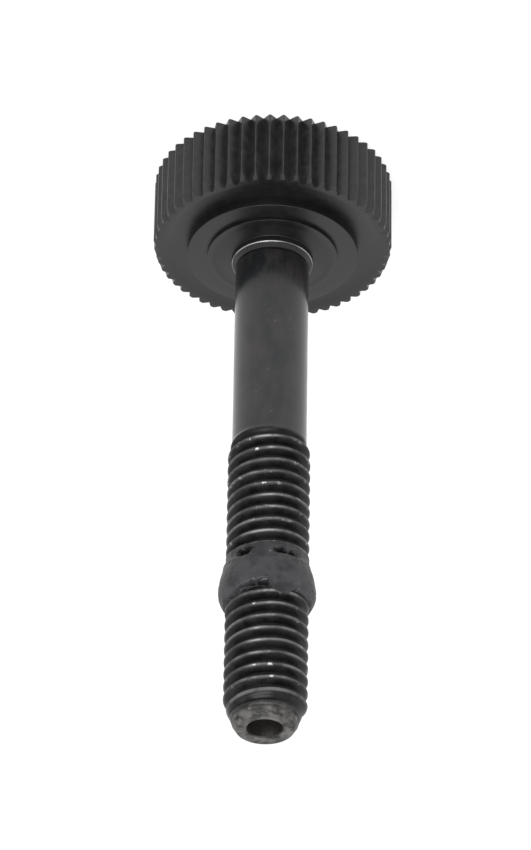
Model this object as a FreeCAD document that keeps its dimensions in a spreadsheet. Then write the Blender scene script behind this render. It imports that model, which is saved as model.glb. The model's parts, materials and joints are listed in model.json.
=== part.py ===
import FreeCAD, Part
import os
import Sketcher
from FreeCAD import Vector

# Knurled thumb screw, M6 x 1, standing on its head with the tip up.
# The origin is the centre of the head's flat outer face and +Z runs along the axis to the tip.

doc = FreeCAD.newDocument("thumb_screw")

# driving sizes, in millimetres
driving = {
    # head: a straight-knurled disc, turned in two low steps and a collar on the shank's side
    "headDiameter": 17.4,
    "headThickness": 5.8,
    "knurlTeeth": 54,
    "knurlDepth": 0.45,
    "knurlAllowance": 0.1,
    "stepDiameter": 12.4,
    "stepHeight": 0.55,
    "seatDiameter": 9.5,
    "seatHeight": 0.25,
    "collarDiameter": 8.0,
    "collarHeight": 0.6,
    "neckBevel": 0.3,
    # shank and thread
    "shankDiameter": 5.32,
    "lengthUnderHead": 40.0,
    "threadDiameter": 5.88,
    "threadPitch": 1.0,
    "threadDepthInPitches": 0.5413,
    "threadHalfAngle": 30.0,
    "threadLength": 21.7,
    "runOutTurns": 1.5,
    "cutterReach": 0.03,
    # tip, tapered, with a blind drilled hole
    "tipDiameter": 4.1,
    "tipLength": 1.9,
    "holeDiameter": 2.5,
    "holeDepth": 3.0,
    "drillPointAngle": 118.0,
    # locking patch: a ring of nylon fused over the thread, fuller towards the tip
    "patchThickness": 0.41,
    "patchLip": 0.08,
    "patchLength": 3.9,
    "patchFromTip": 9.7,
    "patchShortSide": 1.1,
}

derived = {
    "headRadius": "=headDiameter / 2",
    "stepRadius": "=stepDiameter / 2",
    "seatRadius": "=seatDiameter / 2",
    "collarRadius": "=collarDiameter / 2",
    "shankRadius": "=shankDiameter / 2",
    "threadRadius": "=threadDiameter / 2",
    "rootRadius": "=threadRadius - threadDepthInPitches * threadPitch",
    "tipRadius": "=tipDiameter / 2",
    "holeRadius": "=holeDiameter / 2",
    "patchRadius": "=threadRadius + patchThickness",
    "lipRadius": "=threadRadius + patchLip",
    # the rim is turned over size, and the knurl's flanks meet at the head's own radius
    "blankRadius": "=headRadius + knurlAllowance",
    "halfTooth": "=180 deg / knurlTeeth",
    "grooveRoot": "=headRadius - knurlDepth",
    "grooveSlope": "=headRadius * sin(halfTooth) / (headRadius * cos(halfTooth) - grooveRoot)",
    # heights above the head's outer face
    "stepFace": "=headThickness + stepHeight",
    "seatFace": "=stepFace + seatHeight",
    "collarFace": "=seatFace + collarHeight",
    "tipFace": "=seatFace + lengthUnderHead",
    "holeFloor": "=tipFace - holeDepth",
    "drillPoint": "=holeFloor - holeRadius / tan(drillPointAngle / 2 * 1 deg)",
    "fullThread": "=tipFace - threadLength",
    "runOutStart": "=fullThread - runOutTurns * threadPitch",
    "patchEnd": "=tipFace - patchFromTip",
    "patchStart": "=patchEnd - patchLength",
    "patchPeak": "=patchEnd - patchShortSide",
    # the V cutter reaches just past the crests, and its turns never meet
    "cutterRadius": "=threadRadius + cutterReach",
    "cutterHalfWidth": "=(cutterRadius - rootRadius) * tan(threadHalfAngle * 1 deg)",
    # over the run-out the root climbs until it clears the shank
    "runOutAngle": "=atan((shankRadius - rootRadius + cutterReach) / (runOutTurns * threadPitch))",
}

sheet = doc.addObject("Spreadsheet::Sheet", "dims")
for row, (alias, value) in enumerate([*driving.items(), *derived.items()], start=1):
    sheet.set(f"A{row}", alias)
    sheet.set(f"B{row}", str(value))
    sheet.setAlias(f"B{row}", alias)
doc.recompute()


def number(expression):
    value = sheet.evalExpression(expression)
    return float(getattr(value, "Value", value))


def newBody(label):
    body = doc.addObject("PartDesign::Body", label)
    body.Label = label
    return body


def originFeature(body, role):
    return next(feature for feature in body.Origin.OriginFeatures if feature.Role == role)


def outline(body, name, plane, corners):
    """A closed sketch of straight edges through corners given as (across, up) expressions."""
    sketch = body.newObject("Sketcher::SketchObject", name)
    sketch.AttachmentSupport = [(originFeature(body, plane), "")]
    sketch.MapMode = "FlatFace"
    places = [Vector(number(across), number(up), 0) for across, up in corners]
    for start, end in zip(places, places[1:] + places[:1]):
        sketch.addGeometry(Part.LineSegment(start, end))
    for index, corner in enumerate(corners):
        before = (index - 1) % len(corners)
        sketch.addConstraint(Sketcher.Constraint("Coincident", before, 2, index, 1))
        for kind, axis, expression in zip(("DistanceX", "DistanceY"), (-2, -1), corner):
            if expression == "0":
                sketch.addConstraint(Sketcher.Constraint("PointOnObject", index, 1, axis))
                continue
            held = sketch.addConstraint(Sketcher.Constraint(kind, -1, 1, index, 1, number(expression)))
            sketch.renameConstraint(held, f"corner{index}{kind[-1]}")
            sketch.setExpression(f"Constraints.corner{index}{kind[-1]}", expression)
    doc.recompute()
    return sketch


def turn(body, name, sketch):
    feature = body.newObject("PartDesign::Revolution", name)
    feature.Profile = (sketch, [])
    feature.ReferenceAxis = (sketch, ["V_Axis"])
    feature.Angle = 360
    doc.recompute()
    return feature


def cutThread(body, name, sketch, height, angle=None):
    """A right-hand helical cut up the axis, or with an angle back down it and outwards."""
    cut = body.newObject("PartDesign::SubtractiveHelix", name)
    cut.Profile = (sketch, [])
    cut.ReferenceAxis = (sketch, ["V_Axis"])
    cut.Mode = 0  # by pitch and height
    cut.setExpression("Pitch", "dims.threadPitch")
    cut.setExpression("Height", height)
    if angle:
        cut.Reversed = True
        cut.setExpression("Angle", angle)
    doc.recompute()
    return cut


# the screw, turned in one piece
screw = newBody("thumb_screw")

turnedOutline = outline(screw, "turned_outline", "XZ_Plane", [
    ("0", "0"),
    ("dims.blankRadius", "0"),
    ("dims.blankRadius", "dims.headThickness"),
    ("dims.stepRadius", "dims.headThickness"),
    ("dims.stepRadius", "dims.stepFace"),
    ("dims.seatRadius", "dims.stepFace"),
    ("dims.seatRadius", "dims.seatFace"),
    ("dims.collarRadius", "dims.seatFace"),
    ("dims.shankRadius + dims.neckBevel", "dims.collarFace"),
    ("dims.shankRadius", "dims.collarFace + dims.neckBevel"),
    ("dims.shankRadius", "dims.runOutStart"),
    ("dims.threadRadius", "dims.fullThread"),
    ("dims.threadRadius", "dims.tipFace - dims.tipLength"),
    ("dims.tipRadius", "dims.tipFace"),
    ("dims.holeRadius", "dims.tipFace"),
    ("dims.holeRadius", "dims.holeFloor"),
    ("0", "dims.drillPoint"),
])
turning = turn(screw, "turning", turnedOutline)

# straight knurl: one V groove along the head's rim, repeated round the axis
grooveOutline = outline(screw, "groove_outline", "XY_Plane", [
    ("dims.grooveRoot", "0"),
    ("dims.grooveRoot + 2 * dims.knurlDepth", "-2 * dims.knurlDepth * dims.grooveSlope"),
    ("dims.grooveRoot + 2 * dims.knurlDepth", "2 * dims.knurlDepth * dims.grooveSlope"),
])
groove = screw.newObject("PartDesign::Pocket", "knurl_groove")
groove.Profile = (grooveOutline, [])
groove.Reversed = True
groove.setExpression("Length", "dims.headThickness")
doc.recompute()

knurl = screw.newObject("PartDesign::PolarPattern", "knurl")
knurl.Originals = [groove]
knurl.Axis = (grooveOutline, ["N_Axis"])
knurl.Angle = 360
knurl.setExpression("Occurrences", "dims.knurlTeeth")
screw.Tip = knurl
doc.recompute()

# thread: a V cut that fades out over the last turns towards the shank, and runs off the tip
cutterOutline = outline(screw, "cutter_outline", "XZ_Plane", [
    ("dims.rootRadius", "dims.fullThread"),
    ("dims.cutterRadius", "dims.fullThread - dims.cutterHalfWidth"),
    ("dims.cutterRadius", "dims.fullThread + dims.cutterHalfWidth"),
])
runOut = cutThread(
    screw, "run_out", cutterOutline, "dims.fullThread - dims.runOutStart", "dims.runOutAngle")
thread = cutThread(screw, "thread", cutterOutline, "dims.threadLength + dims.threadPitch")
screw.Tip = thread

# the locking patch
patch = newBody("locking_patch")

patchOutline = outline(patch, "patch_outline", "XZ_Plane", [
    ("dims.threadRadius", "dims.patchStart"),
    ("dims.lipRadius", "dims.patchStart"),
    ("dims.patchRadius", "dims.patchPeak"),
    ("dims.lipRadius", "dims.patchEnd"),
    ("dims.threadRadius", "dims.patchEnd"),
])
turn(patch, "patch_ring", patchOutline)

# checks and export
doc.recompute()

for item in doc.Objects:
    if "Invalid" in item.State or "Error" in item.State:
        raise RuntimeError(f"{item.Label} did not compute: {item.State}")

cuts = [turning.Shape.Volume, knurl.Shape.Volume, runOut.Shape.Volume, thread.Shape.Volume]
if any(later >= earlier for earlier, later in zip(cuts, cuts[1:])):
    raise RuntimeError("a cut removed nothing")

os.makedirs("parts", exist_ok=True)
for body in (screw, patch):
    shape = body.Shape
    if shape.isNull() or not shape.isValid() or len(shape.Solids) != 1:
        raise RuntimeError(f"{body.Label} is not one valid solid")
    shape.exportStep(f"parts/{body.Label}.step")
    print(body.Label, round(shape.Volume, 2), "mm3")
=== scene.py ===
import json
import math

import bmesh
import bpy
import numpy as np
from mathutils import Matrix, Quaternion, Vector, noise

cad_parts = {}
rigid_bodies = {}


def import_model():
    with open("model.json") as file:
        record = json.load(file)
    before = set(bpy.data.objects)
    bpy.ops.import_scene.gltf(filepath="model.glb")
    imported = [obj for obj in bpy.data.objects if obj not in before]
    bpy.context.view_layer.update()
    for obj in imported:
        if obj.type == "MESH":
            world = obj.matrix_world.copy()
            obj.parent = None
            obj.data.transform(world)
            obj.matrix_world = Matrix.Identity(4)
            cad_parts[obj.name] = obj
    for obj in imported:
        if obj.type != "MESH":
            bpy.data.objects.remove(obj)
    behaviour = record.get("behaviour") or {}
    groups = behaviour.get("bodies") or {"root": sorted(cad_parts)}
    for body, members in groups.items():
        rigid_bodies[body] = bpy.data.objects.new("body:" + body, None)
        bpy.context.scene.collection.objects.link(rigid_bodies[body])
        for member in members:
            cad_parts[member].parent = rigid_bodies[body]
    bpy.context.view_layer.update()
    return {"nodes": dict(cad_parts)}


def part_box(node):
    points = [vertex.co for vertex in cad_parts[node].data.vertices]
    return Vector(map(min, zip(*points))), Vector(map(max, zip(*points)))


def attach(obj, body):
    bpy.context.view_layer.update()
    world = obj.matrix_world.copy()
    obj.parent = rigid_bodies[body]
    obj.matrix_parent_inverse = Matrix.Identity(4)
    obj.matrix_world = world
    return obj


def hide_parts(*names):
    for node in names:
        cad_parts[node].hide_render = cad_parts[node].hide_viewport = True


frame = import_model()
mm = 0.001
weldGap, joinGap = 1e-7, 1e-6  # in metres: points nearer than this are one, in a part and between parts
lengthUnderHead = 40.0
screwLow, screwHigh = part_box("thumb_screw")
patchLow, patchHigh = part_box("locking_patch")
rimRadius = (screwHigh[1] - screwLow[1]) / 2 / mm
tipHeight = screwHigh[2] / mm
seatHeight = tipHeight - lengthUnderHead
print("frame loaded:", len(frame["nodes"]), "nodes, rim", round(rimRadius, 2), "mm, tip",
      round(tipHeight, 2), "mm, patch", round(patchLow[2] / mm, 2), "to", round(patchHigh[2] / mm, 2), "mm")


# node helpers, for geometry and material trees alike

def plug(tree, socket, value):
    if isinstance(value, bpy.types.NodeSocket):
        tree.links.new(value, socket)
    elif value is not None:
        socket.default_value = value


def addNode(tree, kind, inputs=None, **settings):
    made = tree.nodes.new(kind)
    for name, value in settings.items():
        setattr(made, name, value)
    for key, value in (inputs or {}).items():
        plug(tree, made.inputs[key], value)
    return made


def calc(tree, operation, *values):
    made = addNode(tree, "ShaderNodeMath", operation=operation)
    for socket, value in zip(made.inputs, values):
        plug(tree, socket, value)
    return made.outputs[0]


def ramp(tree, value, low, high, start=0.0, end=1.0, kind="SMOOTHSTEP"):
    made = addNode(tree, "ShaderNodeMapRange", interpolation_type=kind)
    for socket, item in zip(made.inputs, (value, low, high, start, end)):
        plug(tree, socket, item)
    return made.outputs[0]


def blend(tree, share, first, second):
    return calc(tree, "ADD", first, calc(tree, "MULTIPLY", share, calc(tree, "SUBTRACT", second, first)))


def newTree(name, sizes):
    # sizes: input name to socket type; returns the tree and a dictionary of its input sockets
    tree = bpy.data.node_groups.new(name, "GeometryNodeTree")
    tree.interface.new_socket("Geometry", in_out="OUTPUT", socket_type="NodeSocketGeometry")
    for label, kind in sizes.items():
        tree.interface.new_socket(label, in_out="INPUT", socket_type=kind)
    entry = tree.nodes.new("NodeGroupInput")
    return tree, {label: entry.outputs[label] for label in sizes}


def crowd(tree, share, amount):
    # moves evenly spaced steps towards 0, 1/2 and 1
    wave = calc(tree, "SINE", calc(tree, "MULTIPLY", share, 4 * math.pi))
    shift = calc(tree, "DIVIDE", amount, 4 * math.pi)
    return calc(tree, "SUBTRACT", share, calc(tree, "MULTIPLY", wave, shift))


def fromMiddle(tree, share):
    # 0 on a crest and 1 in the middle of a groove
    return calc(tree, "MULTIPLY", calc(tree, "ABSOLUTE", calc(tree, "SUBTRACT", share, 0.5)), 2.0)


def flankSpan(tree, size):
    # the share of a tooth that is neither crest nor root
    return calc(tree, "SUBTRACT", calc(tree, "SUBTRACT", 1.0, size["Crest Share"]), size["Root Share"])


def softLimit(tree, value, size):
    below = calc(tree, "SMOOTH_MIN", value, 1.0, size["Softness"])
    return calc(tree, "SMOOTH_MAX", below, 0.0, size["Softness"])


def roundAxis(tree, grid, angle, radius, height, edge, material, others=()):
    # lays a grid round the axis, keeps how exposed each point is, closes the seam and gives the materials
    x = calc(tree, "MULTIPLY", radius, calc(tree, "COSINE", angle))
    y = calc(tree, "MULTIPLY", radius, calc(tree, "SINE", angle))
    spot = addNode(tree, "ShaderNodeCombineXYZ", {0: x, 1: y, 2: height})
    scaled = addNode(tree, "ShaderNodeVectorMath", {0: spot.outputs[0], "Scale": mm}, operation="SCALE")
    shape = grid.outputs["Mesh"]
    kept = [("edge", edge)] + [(f"share{index}", share) for index, (share, _) in enumerate(others)]
    for name, value in kept:
        shape = addNode(tree, "GeometryNodeStoreNamedAttribute", {
            "Geometry": shape, "Name": name, "Value": value}, data_type="FLOAT", domain="POINT").outputs[0]
    placed = addNode(tree, "GeometryNodeSetPosition", {"Geometry": shape, "Position": scaled.outputs[0]})
    closed = addNode(tree, "GeometryNodeMergeByDistance", {
        "Geometry": placed.outputs[0], "Distance": weldGap})
    real = addNode(tree, "GeometryNodeRealizeInstances", {"Geometry": closed.outputs[0]})
    coated = addNode(tree, "GeometryNodeSetMaterial", {"Geometry": real.outputs[0], "Material": material})
    for index, (_, other) in enumerate(others):
        share = addNode(tree, "GeometryNodeInputNamedAttribute", {"Name": f"share{index}"}, data_type="FLOAT")
        coated = addNode(tree, "GeometryNodeSetMaterial", {
            "Geometry": coated.outputs[0], "Material": other,
            "Selection": calc(tree, "GREATER_THAN", share.outputs[0], 0.5)})
    leave = tree.nodes.new("NodeGroupOutput")
    plug(tree, leave.inputs[0], coated.outputs[0])


def gridOf(tree, across, up):
    grid = addNode(tree, "GeometryNodeMeshGrid", {
        "Size X": 1.0, "Size Y": 1.0, "Vertices X": across, "Vertices Y": up})
    spot = addNode(tree, "ShaderNodeSeparateXYZ", {0: tree.nodes.new("GeometryNodeInputPosition").outputs[0]})
    return grid, calc(tree, "ADD", spot.outputs[0], 0.5), calc(tree, "ADD", spot.outputs[1], 0.5)


def turnedTree():
    # turns a profile round the axis; inside the rim's radius V grooves are pressed into it
    tree, size = newTree("turnedForm", {
        "Profile": "NodeSocketObject", "Columns": "NodeSocketInt", "Teeth": "NodeSocketInt",
        "Rim": "NodeSocketFloat", "Depth": "NodeSocketFloat", "Crest Share": "NodeSocketFloat",
        "Root Share": "NodeSocketFloat", "Softness": "NodeSocketFloat", "Hollow": "NodeSocketFloat",
        "Crowding": "NodeSocketFloat", "Turn": "NodeSocketFloat", "Material": "NodeSocketMaterial",
        "Rim Start": "NodeSocketFloat", "Rim Material": "NodeSocketMaterial",
    })
    profile = addNode(tree, "GeometryNodeObjectInfo", {"Object": size["Profile"]}).outputs["Geometry"]
    count = addNode(tree, "GeometryNodeAttributeDomainSize", {"Geometry": profile}).outputs["Point Count"]
    grid, across, up = gridOf(tree, calc(tree, "ADD", size["Columns"], 1), count)
    row = calc(tree, "ROUND", calc(tree, "MULTIPLY", up, calc(tree, "SUBTRACT", count, 1)))
    where = addNode(tree, "GeometryNodeSampleIndex", {"Geometry": profile, "Index": row},
                    data_type="FLOAT_VECTOR", domain="POINT")
    plug(tree, where.inputs["Value"], tree.nodes.new("GeometryNodeInputPosition").outputs[0])
    profileSpot = addNode(tree, "ShaderNodeSeparateXYZ", {0: where.outputs[0]})
    tooth = calc(tree, "MULTIPLY", across, size["Teeth"])
    share = crowd(tree, calc(tree, "FRACT", tooth), size["Crowding"])
    angle = calc(tree, "DIVIDE", calc(tree, "ADD", calc(tree, "FLOOR", tooth), share), size["Teeth"])
    angle = calc(tree, "ADD", calc(tree, "MULTIPLY", angle, 2 * math.pi), size["Turn"])
    pastCrest = calc(tree, "SUBTRACT", fromMiddle(tree, share), size["Crest Share"])
    cut = softLimit(tree, calc(tree, "DIVIDE", pastCrest, flankSpan(tree, size)), size)
    cut = calc(tree, "POWER", calc(tree, "MAXIMUM", cut, 0.0), size["Hollow"])
    toothRadius = calc(tree, "SUBTRACT", size["Rim"], calc(tree, "MULTIPLY", size["Depth"], cut))
    radius = calc(tree, "MINIMUM", profileSpot.outputs[0], toothRadius)
    rootRadius = calc(tree, "SUBTRACT", size["Rim"], size["Depth"])
    onRim = calc(tree, "GREATER_THAN", profileSpot.outputs[0], rootRadius)
    edge = calc(tree, "MAXIMUM", profileSpot.outputs[1],
                calc(tree, "MULTIPLY", onRim, calc(tree, "SUBTRACT", 1.0, cut)))
    outer = calc(tree, "GREATER_THAN", radius, size["Rim Start"])
    roundAxis(tree, grid, angle, radius, profileSpot.outputs[2], edge, size["Material"],
              [(outer, size["Rim Material"])])
    return tree


def threadTree():
    # one strip wound up the axis: its first turn grows out of a flat ring and its last shrinks into one
    tree, size = newTree("threadForm", {
        "Start": "NodeSocketFloat", "Pitch": "NodeSocketFloat", "Turns": "NodeSocketInt",
        "Columns": "NodeSocketInt", "Rows": "NodeSocketInt", "Crowding": "NodeSocketFloat",
        "Shank Radius": "NodeSocketFloat", "Crest Radius": "NodeSocketFloat",
        "Root Radius": "NodeSocketFloat", "Crest Share": "NodeSocketFloat", "Root Share": "NodeSocketFloat",
        "Softness": "NodeSocketFloat", "Crest Run Out": "NodeSocketFloat", "Root Run Out": "NodeSocketFloat",
        "Taper Start": "NodeSocketFloat", "Taper Slope": "NodeSocketFloat", "Fade": "NodeSocketFloat",
        "Uncut Crest": "NodeSocketFloat", "Uncut Root": "NodeSocketFloat",
        "Tip Beyond": "NodeSocketFloat", "Tip Lead": "NodeSocketFloat",
        "Material": "NodeSocketMaterial", "Shank Material": "NodeSocketMaterial",
        "Tip Material": "NodeSocketMaterial",
    })
    wound = calc(tree, "ADD", size["Turns"], 1)
    columns = calc(tree, "ADD", calc(tree, "MULTIPLY", size["Columns"], wound), 1)
    grid, along, up = gridOf(tree, columns, calc(tree, "ADD", size["Rows"], 1))
    turn = calc(tree, "MULTIPLY", along, wound)
    lower = calc(tree, "MAXIMUM", calc(tree, "SUBTRACT", turn, 1.0), 0.0)
    upper = calc(tree, "MINIMUM", turn, size["Turns"])
    level = blend(tree, crowd(tree, up, size["Crowding"]), lower, upper)
    phase = calc(tree, "SUBTRACT", level, calc(tree, "SUBTRACT", turn, 1.0))
    height = calc(tree, "ADD", size["Start"], calc(tree, "MULTIPLY", level, size["Pitch"]))
    rootStart = calc(tree, "SUBTRACT", 1.0, size["Root Share"])
    aboveRoot = calc(tree, "SUBTRACT", rootStart, fromMiddle(tree, phase))
    rise = softLimit(tree, calc(tree, "DIVIDE", aboveRoot, flankSpan(tree, size)), size)
    grown = ramp(tree, height, size["Start"], calc(tree, "ADD", size["Start"], size["Crest Run Out"]))
    sunk = ramp(tree, height, size["Start"], calc(tree, "ADD", size["Start"], size["Root Run Out"]))
    crest = blend(tree, grown, size["Shank Radius"], size["Crest Radius"])
    root = blend(tree, sunk, size["Shank Radius"], size["Root Radius"])
    radius = blend(tree, rise, root, crest)
    beyond = calc(tree, "MAXIMUM", calc(tree, "SUBTRACT", height, size["Taper Start"]), 0.0)
    taper = calc(tree, "SUBTRACT", size["Crest Radius"], calc(tree, "MULTIPLY", beyond, size["Taper Slope"]))
    end = calc(tree, "ADD", size["Start"], calc(tree, "MULTIPLY", size["Turns"], size["Pitch"]))
    kept = ramp(tree, height, calc(tree, "SUBTRACT", end, size["Fade"]), end, 1.0, 0.0)
    radius = blend(tree, kept, taper, calc(tree, "MINIMUM", radius, taper))
    edge = calc(tree, "MULTIPLY", rise, sunk)
    angle = calc(tree, "MULTIPLY", turn, 2 * math.pi)
    # the shank's material goes on where the thread has hardly begun, and the tip's begins on the taper
    groove = calc(tree, "MULTIPLY", sunk, calc(tree, "SUBTRACT", 1.0, rise))
    uncut = calc(tree, "MULTIPLY", calc(tree, "LESS_THAN", grown, size["Uncut Crest"]),
                 calc(tree, "LESS_THAN", groove, size["Uncut Root"]))
    reach = calc(tree, "ADD", beyond, calc(tree, "MULTIPLY", rise, size["Tip Lead"]))
    worn = calc(tree, "GREATER_THAN", reach, size["Tip Beyond"])
    roundAxis(tree, grid, angle, radius, height, edge, size["Material"],
              [(uncut, size["Shank Material"]), (worn, size["Tip Material"])])
    return tree


def grow(name, tree, values):
    # runs a tree on an empty object and keeps the result as a plain mesh
    seed = bpy.data.objects.new(name, bpy.data.meshes.new(name))
    bpy.context.collection.objects.link(seed)
    modifier = seed.modifiers.new("form", "NODES")
    modifier.node_group = tree
    for item in tree.interface.items_tree:
        if item.in_out == "INPUT":
            modifier[item.identifier] = values[item.name]
    evaluated = seed.evaluated_get(bpy.context.evaluated_depsgraph_get())
    mesh = bpy.data.meshes.new_from_object(evaluated)
    for share in [item.name for item in mesh.attributes if item.name.startswith("share")]:
        mesh.attributes.remove(mesh.attributes[share])
    seed.modifiers.remove(modifier)
    seed.data = mesh
    return seed


# profiles: corners as (radius, height, rounding) in millimetres

def roundedProfile(corners, steps=5):
    # a fourth number on a corner is how worn its rounding is; on the collar's top edge and neck this worn
    # bare metal paints highlight lines
    points = []
    for index, (across, up, rounding, *worn) in enumerate(corners):
        here = Vector((across, up))
        wearAndHighlight = worn[0] if worn else 0.0
        if not rounding or index in (0, len(corners) - 1):
            points.append((across, wearAndHighlight, up))
            continue
        back = (Vector(corners[index - 1][:2]) - here).normalized()
        ahead = (Vector(corners[index + 1][:2]) - here).normalized()
        half = back.angle(ahead) / 2
        start, end = here + back * rounding / math.tan(half), here + ahead * rounding / math.tan(half)
        centre = here + (back + ahead).normalized() * rounding / math.sin(half)
        for step in range(steps + 1):
            spot = centre + (start.lerp(end, step / steps) - centre).normalized() * rounding
            points.append((spot.x, wearAndHighlight * math.sin(math.pi * step / steps) ** 0.5 if wearAndHighlight else 0.0, spot.y))
    return points


def profileObject(name, points):
    mesh = bpy.data.meshes.new(name)
    mesh.from_pydata(points, [(i, i + 1) for i in range(len(points) - 1)], [])
    made = bpy.data.objects.new(name, mesh)
    bpy.context.collection.objects.link(made)
    return made


# materials

def newMaterial(name):
    material = bpy.data.materials.new(name)
    material.use_nodes = True
    tree = material.node_tree
    shader = tree.nodes["Principled BSDF"]
    return material, tree, shader


def grain(tree, scale, detail=3.0, stretch=(1, 1, 1), roughness=0.55):
    coords = addNode(tree, "ShaderNodeTexCoord").outputs["Object"]
    mapped = addNode(tree, "ShaderNodeMapping", {"Vector": coords, "Scale": stretch})
    made = addNode(tree, "ShaderNodeTexNoise",
                   {"Vector": mapped.outputs[0], "Scale": scale, "Detail": detail, "Roughness": roughness})
    return made.outputs["Fac"]


def mixColour(tree, share, first, second):
    made = addNode(tree, "ShaderNodeMix", data_type="RGBA")
    plug(tree, made.inputs[0], share)
    plug(tree, made.inputs[6], first)
    plug(tree, made.inputs[7], second)
    return made.outputs[2]


oxide = {
    "mottleDetail": 5.0, "mottleRange": (0.35, 0.65), "fadeScale": 700.0, "fadeSpread": 0.7,
    "wearDetail": 4.0, "wearRange": (0.4, 0.62), "wearLeast": 0.3,
    "nickScale": 1300.0, "nickDetail": 2.0, "nickRange": (0.6, 0.68), "nickEdge": (0.7, 0.95),
    "speckScale": 2400.0, "speckDetail": 1.0, "speckRange": (0.7, 0.8), "speckColour": (0.12, 0.115, 0.11, 1),
    "bumpDetail": 4.0, "bumpDepth": 0.00002,
}


def oxideMaterial(name, finish):
    # black oxide on steel: a thin dark coat that is mottled, and worn to bare metal on exposed edges; on the
    # collar's edges and the thread's crests the bare metal also paints highlight lines
    material, tree, shader = newMaterial(name)
    cloud = grain(tree, finish["mottleScale"], oxide["mottleDetail"], finish["stretch"])
    mottle = ramp(tree, cloud, *oxide["mottleRange"])
    if "fade" in finish:
        # the mottle comes in with the height, between two heights in millimetres; in the hole this paints
        # shade, darker deeper in
        place = addNode(tree, "ShaderNodeTexCoord").outputs["Object"]
        up = addNode(tree, "ShaderNodeSeparateXYZ", {0: place}).outputs[2]
        spread = blend(tree, grain(tree, oxide["fadeScale"]), -oxide["fadeSpread"], oxide["fadeSpread"])
        up = calc(tree, "ADD", calc(tree, "DIVIDE", up, mm), spread)
        mottle = calc(tree, "MULTIPLY", mottle, ramp(tree, up, *finish["fade"]))
    coat = mixColour(tree, mottle, finish["dark"], finish["light"])
    exposed = addNode(tree, "ShaderNodeAttribute", attribute_name="edge").outputs["Fac"]
    patchy = ramp(tree, grain(tree, finish["wearScale"], oxide["wearDetail"]), *oxide["wearRange"])
    worn = calc(tree, "MULTIPLY", ramp(tree, exposed, finish["wearFrom"], 1.0),
                blend(tree, patchy, oxide["wearLeast"], 1.0))
    worn = calc(tree, "MULTIPLY", worn, finish["wearAndHighlight"])
    # bare-metal nicks on exposed edges, which also paint glints on the crests
    if finish["nicksAndGlints"]:
        nick = ramp(tree, grain(tree, oxide["nickScale"], oxide["nickDetail"]), *oxide["nickRange"])
        nick = calc(tree, "MULTIPLY", nick, ramp(tree, exposed, *oxide["nickEdge"]))
        worn = calc(tree, "MAXIMUM", worn, calc(tree, "MULTIPLY", nick, finish["nicksAndGlints"]))
    if finish["specks"]:
        speck = ramp(tree, grain(tree, oxide["speckScale"], oxide["speckDetail"]), *oxide["speckRange"])
        coat = mixColour(tree, calc(tree, "MULTIPLY", speck, finish["specks"]), coat, oxide["speckColour"])
    plug(tree, shader.inputs["Base Color"], mixColour(tree, worn, coat, finish["bareAndHighlight"]))
    plug(tree, shader.inputs["Metallic"], worn)
    plug(tree, shader.inputs["Roughness"], ramp(tree, mottle, 0.0, 1.0, *finish["roughness"]))
    shader.inputs["IOR"].default_value = finish["ior"]
    rough = grain(tree, finish["bumpScale"], oxide["bumpDetail"], finish["stretch"])
    bump = addNode(tree, "ShaderNodeBump", {
        "Height": rough, "Strength": finish["bump"], "Distance": oxide["bumpDepth"]})
    plug(tree, shader.inputs["Normal"], bump.outputs[0])
    return material


plainFinish = {
    "dark": (0.0012, 0.0011, 0.0011, 1), "light": (0.003, 0.0027, 0.0028, 1), "bareAndHighlight": (0.2, 0.19, 0.185, 1),
    "mottleScale": 1400.0, "stretch": (1, 1, 1), "wearScale": 900.0, "wearFrom": 0.8, "wearAndHighlight": 0.0,
    "specks": 0.0, "nicksAndGlints": 0.0, "roughness": (0.33, 0.37), "ior": 1.5, "bumpScale": 7000.0, "bump": 0.05,
}
faceFinish = {**plainFinish, "ior": 1.53}
knurlFinish = {
    **plainFinish, "dark": (0.0115, 0.0115, 0.0126, 1), "light": (0.024, 0.0238, 0.0258, 1),
    "roughness": (0.28, 0.36), "ior": 1.49, "bump": 0.1,
}
# painted highlight: the bright bare metal on the collar's top edge and neck stands in for highlight lines
collarHighlightFinish = {
    **plainFinish, "bareAndHighlight": (0.6, 0.59, 0.58, 1), "wearScale": 430.0, "wearFrom": 0.3, "wearAndHighlight": 0.75,
    "ior": 1.48,
}
shankFinish = {
    **plainFinish, "dark": (0.009, 0.0108, 0.0125, 1), "light": (0.027, 0.024, 0.0228, 1),
    "mottleScale": 800.0, "stretch": (1, 1, 0.5), "specks": 0.4,
    "roughness": (0.16, 0.24), "bumpScale": 5000.0, "bump": 0.12,
}
# the crests' bare-metal wear and nicks are partly real wear and partly painted highlight lines and glints
threadFinish = {
    **plainFinish, "dark": (0.0105, 0.0104, 0.0108, 1), "light": (0.022, 0.0215, 0.0215, 1),
    "bareAndHighlight": (0.3, 0.29, 0.285, 1), "mottleScale": 1100.0, "wearScale": 600.0, "wearFrom": 0.75, "wearAndHighlight": 0.52,
    "nicksAndGlints": 0.9, "roughness": (0.24, 0.34), "ior": 1.25, "bumpScale": 5000.0, "bump": 0.15,
}
tipFinish = {
    **plainFinish, "dark": (0.012, 0.0118, 0.0118, 1), "light": (0.15, 0.144, 0.138, 1),
    "bareAndHighlight": (0.3, 0.29, 0.28, 1), "fade": (45.5, 46.75), "mottleScale": 1150.0, "stretch": (1, 1, 2.2),
    "wearFrom": 0.5, "wearAndHighlight": 0.08, "specks": 0.8, "nicksAndGlints": 0.65,
    "roughness": (0.35, 0.55), "ior": 1.32, "bumpScale": 6000.0, "bump": 0.3,
}
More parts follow.
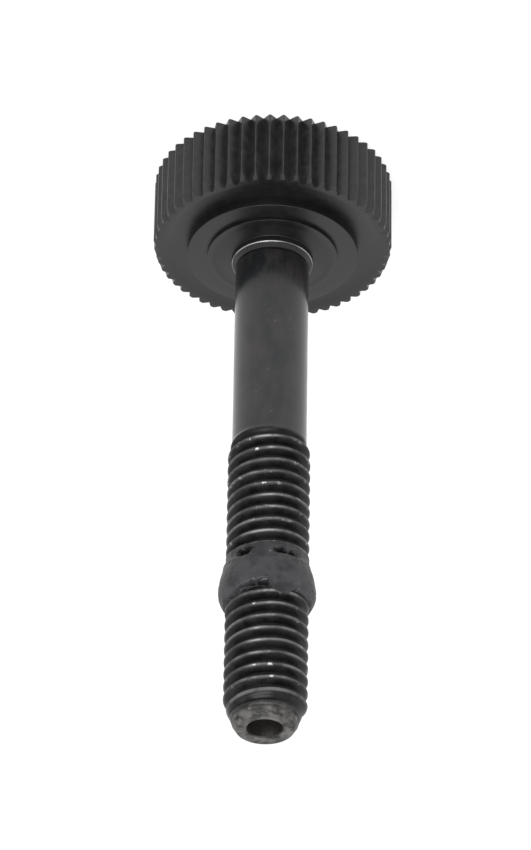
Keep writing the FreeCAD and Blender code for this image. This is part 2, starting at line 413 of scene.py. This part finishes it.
# painted shade: the height fade makes the hole darker deeper in and lighter near its mouth
holeShadedFinish = {
    **plainFinish, "dark": (0.024, 0.023, 0.02, 1), "light": (0.09, 0.087, 0.079, 1),
    "fade": (45.5, 46.7), "mottleScale": 1500.0, "stretch": (1, 1, 0.3),
    "roughness": (0.45, 0.6), "ior": 1.4, "bumpScale": 6000.0, "bump": 0.2,
}
faceOxide = oxideMaterial("faceOxide", faceFinish)
knurlOxide = oxideMaterial("knurlOxide", knurlFinish)
collarOxideAndHighlight = oxideMaterial("collarOxideAndHighlight", collarHighlightFinish)
shankOxide = oxideMaterial("shankOxide", shankFinish)
threadOxide = oxideMaterial("threadOxide", threadFinish)
tipOxide = oxideMaterial("tipOxide", tipFinish)
holeOxideAndShade = oxideMaterial("holeOxideAndShade", holeShadedFinish)


# the screw

head = {
    "teeth": 54, "columnsPerTooth": 12, "knurlDepth": 0.54, "crestShare": 0.1, "rootShare": 0.0,
    "softness": 0.03, "hollow": 0.85, "crowding": 0.6, "turn": math.radians(2.2), "thickness": 5.8,
    "innerRing": 0.6, "outerRing": 0.6, "wallRings": (0.3, 0.5, 0.7), "rootGap": 0.12, "rimLap": 0.06,
    "bevelDepth": 0.17, "bevelLength": 0.5, "bevelRows": 6, "topBevel": 0.06, "topRows": 3,
    "step": 6.2, "stepHeight": 0.55, "stepEdge": 0.025, "seat": 4.75, "seatEdge": 0.018, "ring": 0.3,
    "joinRadius": 4.45, "dish": 0.2, "dishBend": 2.2, "dishRows": 7,
}
shank = {"columns": 144, "radius": 2.66, "rings": (0, 0.1, 0.4, 0.7, 0.95, 1)}
collar = {
    "radius": 4.1, "sweep": 0.6, "lap": 0.05, "foot": 2.97, "footHeight": 0.08, "footEdge": 0.03,
    "top": 2.95, "height": 0.55, "topEdge": 0.08, "land": 2.8, "landHeight": 0.04, "landEdge": 0.02,
    "neckHeight": 0.32, "neckEdge": 0.06, "neckHighlightWear": 0.3, "neckLength": 0.2,
}
thread = {
    "pitch": 1.0, "turns": 23, "start": 22.86, "crest": 2.94, "root": 2.33, "crestShare": 0.125,
    "rootShare": 0.167, "softness": 0.16, "rows": 14, "crowding": 0.5, "crestRunOut": 1.3, "rootRunOut": 1.2,
    "fade": 0.28, "uncutCrest": 0.27, "uncutRoot": 0.3, "tipBeyond": 1.1, "tipLead": 0.3,
}
tip = {
    "radius": 2.04, "rise": 0.09, "taper": 1.8, "edge": 0.08, "edgeWear": 0.3, "ring": 0.3,
    "crestAt": 0.06, "crestLift": 0.05, "crestEdge": 0.08, "crestWear": 0.9,
    "grooveAt": 0.2, "grooveSink": 0.02, "grooveEdge": 0.1, "swellAt": 0.38, "swell": 0.1,
}
hole = {"radius": 1.28, "mouth": 0.1, "mouthEdge": 0.09, "ringDepth": 1.2, "depth": 3.0, "drillPoint": 118.0}
taperSlope = (thread["crest"] - tip["radius"]) / tip["taper"]
sharpAngle = 38.0


def headProfile():
    top = head["thickness"]
    rim, bevel, length = rimRadius, head["bevelDepth"], head["bevelLength"]
    wall = [(0.0, 0.0, 0), (rim * head["innerRing"], 0.0, 0), (rim - head["outerRing"], 0.0, 0)]
    for row in range(head["topRows"] + 1):
        share = row / head["topRows"]
        wall.append((rim - head["topBevel"] * (1 - share), head["topBevel"] * share, 0))
    wall += [(rim, top * share, 0) for share in head["wallRings"]]
    for row in range(head["bevelRows"] + 1):
        share = row / head["bevelRows"]
        wall.append((rim - bevel * share, top - length * (1 - share), 0))
    stepFace = top + head["stepHeight"]
    # the face inside the knurl is turned slightly hollow and sinks towards the step
    dishStart = rim - head["knurlDepth"] - head["rootGap"]
    underside = []
    for row in range(head["dishRows"] + 1):
        share = row / head["dishRows"]
        sunk = head["dish"] * (1 - (1 - share) ** head["dishBend"])
        underside.append((dishStart + (head["step"] - dishStart) * share, top - sunk, 0))
    underside += [
        (head["step"], stepFace, head["stepEdge"]), (head["seat"] + head["ring"], stepFace, 0),
        (head["seat"], stepFace, 0), (head["seat"], seatHeight, head["seatEdge"]),
        (head["joinRadius"], seatHeight, 0),
    ]
    return roundedProfile(wall + underside)


def collarProfile():
    # a sweep up from the seat, a nearly flat ring and a short upright neck; the top edge and the neck are
    # made as worn bare metal, which paints their highlight lines
    top = seatHeight + collar["height"]
    neck = top + collar["neckHeight"]
    return roundedProfile([
        (head["joinRadius"] - collar["lap"], seatHeight, 0), (collar["radius"], seatHeight, collar["sweep"]),
        (collar["foot"], seatHeight + collar["footHeight"], collar["footEdge"]),
        (collar["top"], top, collar["topEdge"], 1.0),
        (collar["land"], top + collar["landHeight"], collar["landEdge"]),
        (shank["radius"], neck, collar["neckEdge"], collar["neckHighlightWear"]),
        (shank["radius"], neck + collar["neckLength"], 0),
    ])


def shankProfile():
    low = seatHeight + collar["height"] + collar["neckHeight"] + collar["neckLength"]
    return [(shank["radius"], 0.0, low + (thread["start"] - low) * share) for share in shank["rings"]]


def taperAt(height):
    return thread["crest"] - taperSlope * (height - (tipHeight - tip["taper"]))


def tipProfile():
    # the last faint crest and groove run over the taper
    start = thread["start"] + thread["turns"] * thread["pitch"]
    lastCrest, lastGroove = start + tip["crestAt"], start + tip["grooveAt"]
    swell, end = start + tip["swellAt"], tipHeight + tip["rise"]
    return roundedProfile([
        (taperAt(start), start, 0),
        (taperAt(lastCrest) + tip["crestLift"], lastCrest, tip["crestEdge"], tip["crestWear"]),
        (taperAt(lastGroove) - tip["grooveSink"], lastGroove, tip["grooveEdge"]),
        (taperAt(swell) + tip["swell"], swell, 0, 1.0), (tip["radius"], end, tip["edge"], tip["edgeWear"]),
        (hole["radius"] + tip["ring"], end, 0, 1.0), (hole["radius"], end, hole["mouthEdge"]),
        (hole["radius"], tipHeight - hole["mouth"], 0),
    ])


def holeProfile():
    floor = tipHeight - hole["depth"]
    point = floor - hole["radius"] / math.tan(math.radians(hole["drillPoint"] / 2))
    heights = (tipHeight - hole["mouth"], tipHeight - hole["ringDepth"], floor)
    return [(hole["radius"], 0.0, height) for height in heights] + [(0.0, 0.0, point)]


def makeScrew():
    turned, wound = turnedTree(), threadTree()
    farOut = 1000.0  # no profile reaches this radius, so nothing is pressed in
    plain = {"Columns": shank["columns"], "Teeth": 1, "Rim": farOut, "Depth": 0.0, "Crest Share": 0.1,
             "Root Share": 0.1, "Softness": 0.0, "Hollow": 1.0, "Crowding": 0.0, "Turn": 0.0,
             "Rim Start": farOut, "Rim Material": None}
    parts = [
        grow("thumbScrew", turned, {
            "Profile": profileObject("headProfile", headProfile()),
            "Columns": head["teeth"] * head["columnsPerTooth"], "Teeth": head["teeth"], "Rim": rimRadius,
            "Depth": head["knurlDepth"], "Crest Share": head["crestShare"], "Root Share": head["rootShare"],
            "Softness": head["softness"], "Hollow": head["hollow"], "Crowding": head["crowding"],
            "Turn": head["turn"], "Rim Start": rimRadius - head["knurlDepth"] - head["rimLap"],
            "Material": faceOxide, "Rim Material": knurlOxide,
        }),
        grow("collarPart", turned, {
            **plain, "Profile": profileObject("collarProfile", collarProfile()), "Material": collarOxideAndHighlight}),
        grow("shankPart", turned, {
            **plain, "Profile": profileObject("shankProfile", shankProfile()), "Material": shankOxide}),
        grow("threadPart", wound, {
            "Start": thread["start"], "Pitch": thread["pitch"], "Turns": thread["turns"],
            "Columns": shank["columns"], "Rows": thread["rows"], "Crowding": thread["crowding"],
            "Shank Radius": shank["radius"], "Crest Radius": thread["crest"], "Root Radius": thread["root"],
            "Crest Share": thread["crestShare"], "Root Share": thread["rootShare"],
            "Softness": thread["softness"], "Crest Run Out": thread["crestRunOut"],
            "Root Run Out": thread["rootRunOut"], "Taper Start": tipHeight - tip["taper"],
            "Taper Slope": taperSlope, "Fade": thread["fade"],
            "Uncut Crest": thread["uncutCrest"], "Uncut Root": thread["uncutRoot"],
            "Tip Beyond": thread["tipBeyond"], "Tip Lead": thread["tipLead"],
            "Material": threadOxide, "Shank Material": shankOxide, "Tip Material": tipOxide}),
        grow("tipPart", turned, {
            **plain, "Profile": profileObject("tipProfile", tipProfile()), "Material": tipOxide}),
        grow("holePart", turned, {
            **plain, "Profile": profileObject("holeProfile", holeProfile()), "Material": holeOxideAndShade}),
    ]
    print("screw parts:", [len(part.data.vertices) for part in parts])
    for item in [item for item in bpy.data.objects if item.name.endswith("Profile")]:
        bpy.data.objects.remove(item)
    with bpy.context.temp_override(active_object=parts[0], selected_editable_objects=parts):
        bpy.ops.object.join()
    screw = parts[0]
    shape = bmesh.new()
    shape.from_mesh(screw.data)
    bmesh.ops.remove_doubles(shape, verts=shape.verts, dist=joinGap)
    rings = [edge for edge in shape.edges if edge.is_boundary]
    bmesh.ops.bridge_loops(shape, edges=rings)
    bmesh.ops.recalc_face_normals(shape, faces=shape.faces)
    loose = [edge for edge in shape.edges if not edge.is_manifold]
    print("screw closed: open edges left", len(loose), "bridged", len(rings))
    shape.to_mesh(screw.data)
    shape.free()
    for face in screw.data.polygons:
        face.use_smooth = True
    screw.data.set_sharp_from_angle(angle=math.radians(sharpAngle))
    return screw


screw = makeScrew()
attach(screw, "root")
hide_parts("thumb_screw")
print("thumb screw:", len(screw.data.vertices), "vertices,",
      sum(len(face.vertices) - 2 for face in screw.data.polygons), "triangles")


# the locking patch

patch = {
    "columns": 288, "rows": 96, "low": 32.5, "high": 37.55, "inside": 2.15, "sunk": 2.28,
    "seed": 4.7, "noiseRadius": 3.0, "slowScale": 0.7, "quickScale": 2.1,
    "start": 32.84, "startSlow": 0.22, "startQuick": 0.1, "startBlend": 0.28,
    "end": 36.4, "endSide": 0.4, "endSlow": 0.2, "endQuick": 0.04, "endBlend": 0.12,
    "skin": 0.025, "skinQuick": 0.03, "front": 0.35,
    "bulge": [(32.9, 0.0), (33.4, 0.03), (33.9, 0.13), (34.4, 0.27), (34.9, 0.39), (35.3, 0.45),
              (35.65, 0.475), (36.0, 0.45), (36.3, 0.36), (36.55, 0.23), (36.8, 0.09), (37.05, 0.0)],
    "dip": 0.08, "dipHeight": 34.15, "dipDrop": 0.75, "dipReach": 0.42,
    "lip": 0.05, "lipAbove": 0.35, "lipReach": 0.3,
    "fill": 0.3, "fillReach": 0.75, "fillBlend": 0.3, "fillTop": 0.1,
    "tongue": 0.95, "tongueTurn": 249, "tongueWidth": 22,
    # pits: turn in degrees, height, width in degrees, depth
    "pits": [(304, 33.66, 13, 0.36), (251, 33.8, 9, 0.32), (233, 33.8, 6, 0.26), (20, 33.85, 8, 0.2),
             (75, 33.8, 11, 0.22), (140, 33.85, 7, 0.2), (190, 33.8, 10, 0.22), (284, 36.74, 18, 0.24),
             (100, 36.5, 14, 0.25), (30, 36.7, 9, 0.2)],
    "pitRagged": 0.5, "pitRim": (0.75, 1.1),
}
nylon = {
    "cloudScale": 800.0, "cloudDetail": 5.0, "cloudRange": (0.36, 0.64),
    "dark": (0.015, 0.0155, 0.0175, 1), "light": (0.053, 0.0535, 0.057, 1),
    "speckScale": 2600.0, "speckDetail": 1.0, "speckRange": (0.74, 0.8),
    "speckColour": (0.14, 0.135, 0.125, 1), "roughness": (0.42, 0.58), "ior": 1.42,
    "bumpScale": 3600.0, "bumpDetail": 4.0, "bump": 0.6, "bumpDepth": 0.00004,
}


def nylonMaterial():
    material, tree, shader = newMaterial("patchNylon")
    cloud = ramp(tree, grain(tree, nylon["cloudScale"], nylon["cloudDetail"]), *nylon["cloudRange"])
    speck = ramp(tree, grain(tree, nylon["speckScale"], nylon["speckDetail"]), *nylon["speckRange"])
    colour = mixColour(tree, cloud, nylon["dark"], nylon["light"])
    plug(tree, shader.inputs["Base Color"], mixColour(tree, speck, colour, nylon["speckColour"]))
    plug(tree, shader.inputs["Roughness"], ramp(tree, cloud, 0.0, 1.0, *nylon["roughness"]))
    shader.inputs["IOR"].default_value = nylon["ior"]
    fine = grain(tree, nylon["bumpScale"], nylon["bumpDetail"])
    bump = addNode(tree, "ShaderNodeBump", {
        "Height": fine, "Strength": nylon["bump"], "Distance": nylon["bumpDepth"]})
    plug(tree, shader.inputs["Normal"], bump.outputs[0])
    return material


def smooth(value, low, high):
    share = min(1.0, max(0.0, (value - low) / (high - low)))
    return share * share * (3 - 2 * share)


def hump(distance, reach):
    return max(0.0, 1 - abs(distance) / reach)


def degreesFrom(angle, turn):
    return (math.degrees(angle) - turn + 180) % 360 - 180


def patchRadius(angle, up):
    # a film that fills the thread to its crests and bulges beyond; where it is missing it sinks out of sight
    ring = patch["noiseRadius"]
    around = Vector((math.cos(angle) * ring, math.sin(angle) * ring, up))
    slow = noise.fractal(around * patch["slowScale"] + Vector((patch["seed"], 0, 0)), 1.0, 2.0, 3)
    quick = noise.fractal(around * patch["quickScale"] + Vector((0, patch["seed"], 0)), 1.0, 2.0, 4)
    side = abs(math.cos(angle))
    # where the film covers the crests
    start = patch["start"] + patch["startSlow"] * slow + patch["startQuick"] * quick
    apart = degreesFrom(angle, patch["tongueTurn"])
    tongue = patch["tongue"] * max(0.0, 1 - (apart / patch["tongueWidth"]) ** 2)
    end = patch["end"] + patch["endSide"] * side ** 2 + patch["endSlow"] * slow
    end += patch["endQuick"] * quick + tongue
    cover = smooth(up, start, start + patch["startBlend"]) * (1 - smooth(up, end - patch["endBlend"], end))
    whole = 1.0
    for turn, height, width, depth in patch["pits"]:
        reach = math.hypot(degreesFrom(angle, turn) / width, (up - height) / depth)
        whole *= smooth(reach + patch["pitRagged"] * quick, *patch["pitRim"])
    # how far it stands out
    heights, lifts = zip(*patch["bulge"])
    lift = float(np.interp(up, heights, lifts)) * (patch["front"] + (1 - patch["front"]) * side)
    pastDip = up - (patch["dipHeight"] - patch["dipDrop"] * side ** 2)
    dip = patch["dip"] * hump(pastDip, patch["dipReach"]) * (1 + slow)
    lip = patch["lip"] * hump(pastDip - patch["lipAbove"], patch["lipReach"])
    full = thread["crest"] + patch["skin"] + lift + patch["skinQuick"] * quick - dip + lip
    # how far it fills the grooves beyond that
    fillEnd = min(end + patch["fillReach"], patch["high"] - patch["fillTop"])
    blendIn = smooth(up, start, start + patch["fillBlend"])
    blendOut = 1 - smooth(up, fillEnd - patch["fillBlend"], fillEnd)
    low = patch["sunk"] + patch["fill"] * blendIn * blendOut * (1 + slow)
    return patch["sunk"] + (low + (full - low) * cover - patch["sunk"]) * whole


def makePatch():
    count, rows = patch["columns"], patch["rows"]
    points, faces = [], []
    for row in range(rows + 1):
        up = patch["low"] + (patch["high"] - patch["low"]) * row / rows
        for column in range(count):
            angle = 2 * math.pi * column / count
            radius = patch["inside"] if row in (0, rows) else patchRadius(angle, up)
            points.append((math.cos(angle) * radius * mm, math.sin(angle) * radius * mm, up * mm))
    for row in range(rows + 1):
        ahead = (row + 1) % (rows + 1)
        for column in range(count):
            after = (column + 1) % count
            faces.append((row * count + column, row * count + after,
                          ahead * count + after, ahead * count + column))
    mesh = bpy.data.meshes.new("lockingPatch")
    mesh.from_pydata(points, [], faces)
    made = bpy.data.objects.new("lockingPatch", mesh)
    bpy.context.collection.objects.link(made)
    shape = bmesh.new()
    shape.from_mesh(mesh)
    bmesh.ops.recalc_face_normals(shape, faces=shape.faces)
    shape.to_mesh(mesh)
    shape.free()
    mesh.materials.append(nylonMaterial())
    for face in mesh.polygons:
        face.use_smooth = True
    return made


patchPiece = makePatch()
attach(patchPiece, "root")
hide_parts("locking_patch")
print("locking patch:", len(patchPiece.data.vertices), "vertices")


# floor, world, lamp and camera

studio = {
    "floorSize": 3.0, "floorGap": 0.02, "floorColour": 0.35, "floorGlow": 0.74, "floorUnseen": 0.8,
    "ambient": 0.5, "keyPower": 1.9, "keySize": 0.36, "keyDistance": 0.5, "keyHeight": 64.0,
    "keyTurn": 170.0, "keyAim": (0, 0, 0.01),
}
view = {
    "place": (0.0, -322.64, 241.9), "aim": (0.3, 0.0, 21.32), "roll": 180.944, "lens": 231.67, "sensor": 36,
    "nearest": 0.01,
}


def seenRays(tree):
    # 1 for what the camera, mirrors and clear things see, 0 for the light that falls on surfaces
    rays = addNode(tree, "ShaderNodeLightPath").outputs
    return calc(tree, "MAXIMUM", rays["Is Camera Ray"],
                calc(tree, "MAXIMUM", rays["Is Glossy Ray"], rays["Is Transmission Ray"]))


def makeFloor():
    mesh = bpy.data.meshes.new("floor")
    half = studio["floorSize"] / 2
    low = -studio["floorGap"] * mm
    mesh.from_pydata([(x, y, low) for x, y in ((-half, -half), (half, -half), (half, half), (-half, half))],
                     [], [(0, 1, 2, 3)])
    floor = bpy.data.objects.new("floor", mesh)
    bpy.context.collection.objects.link(floor)
    material, tree, shader = newMaterial("paleFloor")
    tree.nodes.remove(shader)
    matt, unseen = (addNode(tree, "ShaderNodeBsdfDiffuse", {"Color": (shade, shade, shade, 1)}).outputs[0]
                    for shade in (studio["floorColour"], studio["floorUnseen"]))
    glow = addNode(tree, "ShaderNodeEmission", {"Strength": studio["floorGlow"]}).outputs[0]
    seen = addNode(tree, "ShaderNodeAddShader", {0: matt, 1: glow}).outputs[0]
    both = addNode(tree, "ShaderNodeMixShader", {0: seenRays(tree), 1: unseen, 2: seen})
    plug(tree, tree.nodes["Material Output"].inputs["Surface"], both.outputs[0])
    mesh.materials.append(material)


def makeWorld():
    world = bpy.data.worlds.new("studioWorld")
    bpy.context.scene.world = world
    world.use_nodes = True
    tree = world.node_tree
    background = tree.nodes["Background"]
    background.inputs["Color"].default_value = (1, 1, 1, 1)
    plug(tree, background.inputs["Strength"], blend(tree, seenRays(tree), studio["ambient"], 1.0))


def makeLamp(name, power, size, place, aim):
    lamp = bpy.data.lights.new(name, "AREA")
    lamp.shape = "DISK"
    lamp.size = size
    lamp.energy = power
    made = bpy.data.objects.new(name, lamp)
    bpy.context.collection.objects.link(made)
    made.location = place
    made.rotation_mode = "QUATERNION"
    made.rotation_quaternion = (Vector(aim) - Vector(place)).to_track_quat("-Z", "Y")


def makeCamera():
    camera = bpy.data.objects.new("camera", bpy.data.cameras.new("camera"))
    bpy.context.collection.objects.link(camera)
    camera.data.sensor_width = view["sensor"]
    camera.data.lens = view["lens"]
    place, aim = Vector(view["place"]) * mm, Vector(view["aim"]) * mm
    camera.location = place
    camera.rotation_mode = "QUATERNION"
    straight = (aim - place).to_track_quat("-Z", "Y")
    camera.rotation_quaternion = straight @ Quaternion((0, 0, 1), math.radians(view["roll"]))
    camera.data.clip_start = view["nearest"]
    bpy.context.scene.camera = camera


makeFloor()
makeWorld()
keyRise, keyTurn = math.radians(studio["keyHeight"]), math.radians(studio["keyTurn"])
keyPlace = Vector((math.sin(keyTurn) * math.cos(keyRise), math.cos(keyTurn) * math.cos(keyRise),
                   math.sin(keyRise))) * studio["keyDistance"]
makeLamp("keyLamp", studio["keyPower"], studio["keySize"], keyPlace, studio["keyAim"])
makeCamera()
bpy.context.scene.view_settings.view_transform = "Standard"
print("stage and camera set")
